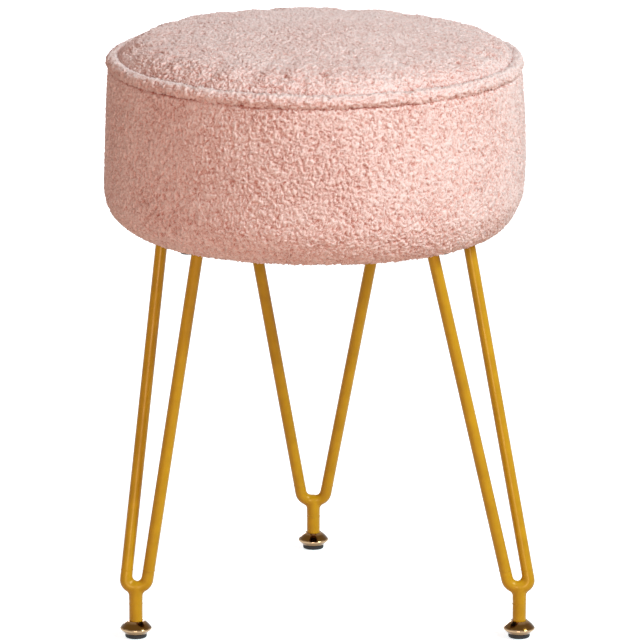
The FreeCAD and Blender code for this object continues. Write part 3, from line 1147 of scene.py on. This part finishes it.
    def build(self) -> None:
        """Fills, cuts, raises and dresses the three sewn pieces."""
        form = self._fill()
        Bench.apply(form, "SUBSURF", levels=2, render_levels=2)
        self._fit(form)
        points = Bench.points(form)
        lumps = self.settling.lumps(points, self.welt_height, self.crown_radius)
        Bench.place(form, points + Bench.normals(form) * lumps[:, None])
        top = self._cut(form, "seat_top", True)
        band = self._cut(form, "seat_band", False)
        bpy.data.objects.remove(form)
        welt = self._welt()
        for panel in (top, band, welt):
            places = Bench.points(panel)
            across, _ = Bench.polar(places)
            away = np.hypot(across - self.welt_radius, places[:, 2] - self.welt_height)
            # 0 at the welt's seam and 1 away from it: it flattens the relief and paints shade into
            # the seam
            seam = np.clip((away - self.seam_flat) / self.seam_fade, 0.0, 1.0)
            rise = (places[:, 2] - self.welt_height) / (self.welt_thick / 2)
            places[:, 2] += self.settling.tilt(places, self.welt_height, self.welt_radius)
            Bench.place(panel, places)
            if panel is welt:
                # painted light on the welt's top and painted shade under it, added to a small lift
                # in tone
                tone_lift_and_painted_light = self.welt_painted_light * rise + self.welt_pale
                self.pile.raise_on(panel, np.ones(len(places)), self.welt_relief, tone_lift_and_painted_light)
            else:
                self.pile.raise_on(panel, seam)
                self._close(panel, panel is band)
            Bench.smooth(panel)
        cover = BOUCLE.material()
        for piece, node in ((top, "cover_top"), (band, "cover_band"), (welt, "welt_sleeve")):
            finish_piece(piece, cover, Body.STOOL.value)
            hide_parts(node)


@dataclass
class Underside:
    """The thin dust cover under the board."""

    radius: float = 127 * MM
    top: float = 295 * MM
    thick: float = 0.4 * MM
    pull: float = 0.08 * MM
    staples: int = 30
    sides: int = 180
    insets: tuple[float, ...] = (1.0, 2.0, 3.0, 4.0, 6.0, 10.0, 20.0, 30.0, 30.0)
    pucker_radius: float = 112 * MM
    pucker_run: float = 15 * MM

    def build(self) -> None:
        """Cuts the disc, puckers it at the staples and gives it its thickness."""
        Bench.clear()
        bpy.ops.mesh.primitive_circle_add(
            vertices=self.sides,
            radius=self.radius,
            fill_type="NGON",
            location=(AXIS_X, AXIS_Y, self.top),
        )
        disc = bpy.context.object
        disc.name = "dust_cloth"
        with Bench.edit(disc, "FACE"):
            bpy.ops.mesh.select_all(action="SELECT")
            for step in self.insets:
                bpy.ops.mesh.inset(thickness=step * MM)
            bpy.ops.mesh.poke()
        Bench.settle(disc)
        points = Bench.points(disc)
        across, bearing = Bench.polar(points)
        edge = np.clip((across - self.pucker_radius) / self.pucker_run, 0.0, 1.0)
        points[:, 2] -= self.pull * edge * (1.0 - np.cos(bearing * self.staples)) / 2
        Bench.place(disc, points)
        Bench.face_out(disc)
        Bench.apply(disc, "SOLIDIFY", thickness=self.thick, offset=-1.0)
        points = Bench.points(disc)
        points[:, 2] += self.top - points[:, 2].max()
        Bench.place(disc, points)
        Bench.smooth(disc, 40.0)
        finish_piece(disc, DUST_CLOTH.material(), Body.STOOL.value)
        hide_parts("dust_cover")


@dataclass
class ForkWeld:
    """The painted weld that runs one leg's fork smoothly into its stem."""

    leg: Leg
    above: float = 13 * MM
    below: float = 13 * MM
    stem_radius: float = 5.0 * MM
    voxel: float = 0.45 * MM
    hollow: float = 2.7 * MM
    proud: float = 0.10 * MM
    fade: float = 3.0 * MM
    sunk: float = 0.5 * MM
    sides: int = 48
    smoothing: int = 8

    def build(self) -> None:
        """Joins the fork and a stub of the stem, and fills the hollows between them."""
        low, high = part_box(self.leg.node("stem"))
        middle = Bench.middle(low, high)
        fork = high[2]
        weld = Bench.twin(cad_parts[self.leg.node("hairpin")], f"{self.leg.value}_fork_weld")
        Bench.face_out(weld)
        with Bench.edit(weld):
            bpy.ops.mesh.select_all(action="SELECT")
            bpy.ops.mesh.bisect(
                plane_co=(0, 0, fork + self.above),
                plane_no=(0, 0, 1),
                use_fill=True,
                clear_outer=True,
            )
        Bench.clear()
        bpy.ops.mesh.primitive_cylinder_add(
            vertices=self.sides,
            radius=self.stem_radius,
            depth=self.below,
            location=(*middle, fork - self.below / 2),
        )
        stub = bpy.context.object
        Bench.settle(stub)
        Bench.take(weld)
        stub.select_set(True)
        bpy.ops.object.join()
        Bench.apply(weld, "REMESH", mode="VOXEL", voxel_size=self.voxel)
        Bench.apply(weld, "DISPLACE", strength=self.hollow, mid_level=0.0)
        Bench.apply(weld, "REMESH", mode="VOXEL", voxel_size=self.voxel)
        Bench.apply(weld, "SMOOTH", factor=0.5, iterations=self.smoothing)
        Bench.apply(weld, "DISPLACE", strength=-self.hollow, mid_level=0.0)
        points = Bench.points(weld)
        height = points[:, 2]
        ends = np.minimum(fork + self.above - height, height - fork + self.below)
        inside = np.clip(1.0 - ends / self.fade, 0.0, 1.0)
        lift = self.proud - self.sunk * inside
        Bench.place(weld, points + Bench.normals(weld) * lift[:, None])
        Bench.smooth(weld)
        finish_piece(weld, GOLD.material(), Body.STOOL.value)


@dataclass
class LevellingFoot:
    """The screw of one foot, with a real thread."""

    leg: Leg
    crest: float = 2.95 * MM
    root: float = 2.45 * MM
    pitch: float = 1.0 * MM
    steps: int = 28
    flat_share: float = 0.12

    def build(self) -> None:
        """Cuts the thread on the stud between the ends of its CAD node."""
        low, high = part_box(self.leg.node("foot_stud"))
        middle = Bench.middle(low, high)
        turns = int((high[2] - low[2]) / self.pitch) - 2
        Bench.clear()
        start = (*middle, low[2] + self.pitch)
        bpy.ops.mesh.primitive_circle_add(vertices=4, radius=1.0, location=start)
        stud = bpy.context.object
        stud.name = f"{self.leg.value}_foot_screw"
        flat = self.flat_share * self.pitch
        ridge = [
            (self.root, 0.0),
            (self.crest, self.pitch / 2 - flat),
            (self.crest, self.pitch / 2 + flat),
            (self.root, self.pitch),
        ]
        Bench.place(stud, np.array([(r, 0.0, z) for r, z in ridge]))
        first, last = 0, len(ridge) - 1
        with Bench.edit(stud, "EDGE"):
            bpy.ops.mesh.select_all(action="DESELECT")
            bpy.ops.object.mode_set(mode="OBJECT")
            for edge in stud.data.edges:
                edge.select = set(edge.vertices) == {first, last}
            bpy.ops.object.mode_set(mode="EDIT")
            bpy.ops.mesh.delete(type="EDGE")
        Bench.apply(
            stud,
            "SCREW",
            angle=2 * math.pi,
            screw_offset=self.pitch,
            iterations=turns,
            steps=self.steps,
            render_steps=self.steps,
            use_merge_vertices=True,
            merge_threshold=TINY,
        )
        with Bench.edit(stud, "EDGE"):
            Bench.pick_rims()
            bpy.ops.mesh.edge_face_add()
        Bench.settle(stud)
        Bench.face_out(stud)
        Bench.smooth(stud, 35.0)
        finish_piece(stud, ZINC.material(), Body.FOOT.of(self.leg))
        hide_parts(self.leg.node("foot_stud"))


@dataclass
class Fittings:
    """The CAD nodes that keep their shape and get a finish."""

    def build(self) -> None:
        """Paints every carried-over node."""
        worn: list[tuple[Finish, list[str]]] = [
            (PLYWOOD, ["base_board"]),
            (FOAM, ["foam_core"]),
            (CORD, ["welt_cord"]),
            (ZINC, ["hem_staples", "leg_washers", "leg_t_nuts"]),
            (BLACK, ["leg_bolts"]),
            (GOLD, [leg.node(piece) for leg in Leg for piece in ("plate", "hairpin", "stem")]),
            (BRASS, [leg.node("foot_cup") for leg in Leg]),
            (RUBBER, [leg.node("foot_pad") for leg in Leg]),
        ]
        for finish, nodes in worn:
            for name in nodes:
                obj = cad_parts[name]
                if not obj.material_slots:
                    obj.data.materials.append(finish.material())
                for place in obj.material_slots:
                    place.material = finish.material()
                log.info("%s keeps its shape in %s", name, finish.slot.value)


# The studio


@dataclass(frozen=True)
class Lamp:
    """One square soft lamp aimed at the seat: side in metres, power in watts."""

    name: str
    place: Place
    side: float
    power: float
    colour: Colour
    aim: Place = (0.0, 0.0, 0.3)

    def hang(self) -> None:
        """Hangs the lamp in the scene."""
        lamp = bpy.data.lights.new(self.name, "AREA")
        lamp.shape, lamp.size, lamp.energy = "SQUARE", self.side, self.power
        lamp.color = self.colour
        holder = bpy.data.objects.new(self.name, lamp)
        bpy.context.scene.collection.objects.link(holder)
        holder.location = self.place
        ahead = Vector(self.aim) - Vector(self.place)
        holder.rotation_euler = ahead.to_track_quat("-Z", "Y").to_euler()


KEY = Lamp("key", (2.2, -1.45, 2.4), 1.0, 102.0, (0.755, 0.965, 1.0))
FILL = Lamp("fill", (-0.2, -3.2, 0.8), 1.0, 38.0, (1.0, 0.84, 0.76))
BACK = Lamp("back", (-0.9, 3.2, 1.0), 1.4, 75.0, (0.95, 0.94, 1.0))


@dataclass
class Studio:
    """White floor and surroundings, a key lamp on the right, two softer ones, and the camera."""

    focal: float = 335.4
    camera_place: Place = (-0.00009, -4.3212, 1.258)
    camera_dip: float = 0.236
    ambient: Colour = (1.0, 0.61, 0.45)
    ambient_level: float = 0.34
    floor_side: float = 30.0
    floor_height: float = -0.2 * MM
    floor_paint: Colour = (0.80, 0.80, 0.80)
    bounce: Colour = (0.60, 0.42, 0.33)
    glow: Colour = (0.84, 0.95, 1.0)
    glow_level: float = 0.70
    lamps: tuple[Lamp, ...] = (KEY, FILL, BACK)

    @staticmethod
    def _seen(g: Graph) -> Socket:
        """1 for rays from the camera, from a reflection or through glass, and 0 for the rest."""
        path = g.add("ShaderNodeLightPath")
        seen = g.math("MAXIMUM", path.outputs["Is Camera Ray"], path.outputs["Is Glossy Ray"])
        return g.math("MAXIMUM", seen, path.outputs["Is Transmission Ray"])

    def _world(self) -> None:
        """White to the camera and in reflections, a soft warm fill for everything else."""
        world = bpy.data.worlds.new("studio")
        bpy.context.scene.world = world
        world.use_nodes = True
        g = Graph(world.node_tree)
        world.node_tree.nodes.clear()
        seen = self._seen(g)
        fill = g.add("ShaderNodeBackground")
        g.feed(fill, Color=(*self.ambient, 1.0), Strength=self.ambient_level)
        white = g.feed(g.add("ShaderNodeBackground"), Color=(1.0, 1.0, 1.0, 1.0), Strength=1.0)
        mix = g.feed(g.add("ShaderNodeMixShader"), Fac=seen)
        g.plug(fill.outputs[0], mix.inputs[1])
        g.plug(white.outputs[0], mix.inputs[2])
        g.feed(g.add("ShaderNodeOutputWorld"), Surface=mix.outputs[0])

    def _floor(self) -> None:
        """A wide white floor that keeps the object's soft shadow and returns a warm light."""
        Bench.clear()
        bpy.ops.mesh.primitive_plane_add(size=self.floor_side, location=(0, 0, self.floor_height))
        floor = bpy.context.object
        floor.name = "studio_floor"
        made = bpy.data.materials.new("studio_floor")
        made.use_nodes = True
        g = Graph(made.node_tree)
        made.node_tree.nodes.clear()
        seen = self._seen(g)
        diffuse = g.add("ShaderNodeLightPath").outputs["Is Diffuse Ray"]
        bounce = g.ramp(diffuse, [(0.0, self.floor_paint), (1.0, self.bounce)])
        matt = g.feed(g.add("ShaderNodeBsdfDiffuse"), Color=bounce)
        glow = g.feed(g.add("ShaderNodeEmission"), Color=(*self.glow, 1.0))
        g.feed(glow, Strength=g.math("MULTIPLY", seen, self.glow_level))
        both = g.add("ShaderNodeAddShader")
        g.plug(matt.outputs[0], both.inputs[0])
        g.plug(glow.outputs[0], both.inputs[1])
        g.feed(g.add("ShaderNodeOutputMaterial"), Surface=both.outputs[0])
        floor.data.materials.append(made)

    def build(self) -> None:
        """Sets the floor, the light and the camera."""
        self._world()
        self._floor()
        for lamp in self.lamps:
            lamp.hang()
        camera = bpy.data.objects.new("camera", bpy.data.cameras.new("camera"))
        bpy.context.scene.collection.objects.link(camera)
        camera.data.sensor_width = 36.0
        camera.data.lens = self.focal
        camera.data.clip_end = 100.0
        camera.location = self.camera_place
        camera.rotation_euler = (math.pi / 2 - self.camera_dip, 0.0, 0.0)
        bpy.context.scene.camera = camera
        bpy.context.scene.view_settings.view_transform = "Standard"


def main() -> None:
    """Builds the studio and every sub-assembly in order."""
    logging.basicConfig(level=logging.INFO, format="%(name)s: %(message)s")
    noise.seed_set(NOISE_SEED)
    Studio().build()
    SeatCover().build()
    Underside().build()
    for leg in Leg:
        ForkWeld(leg).build()
        LevellingFoot(leg).build()
    Fittings().build()


if __name__ == "__main__":
    main()
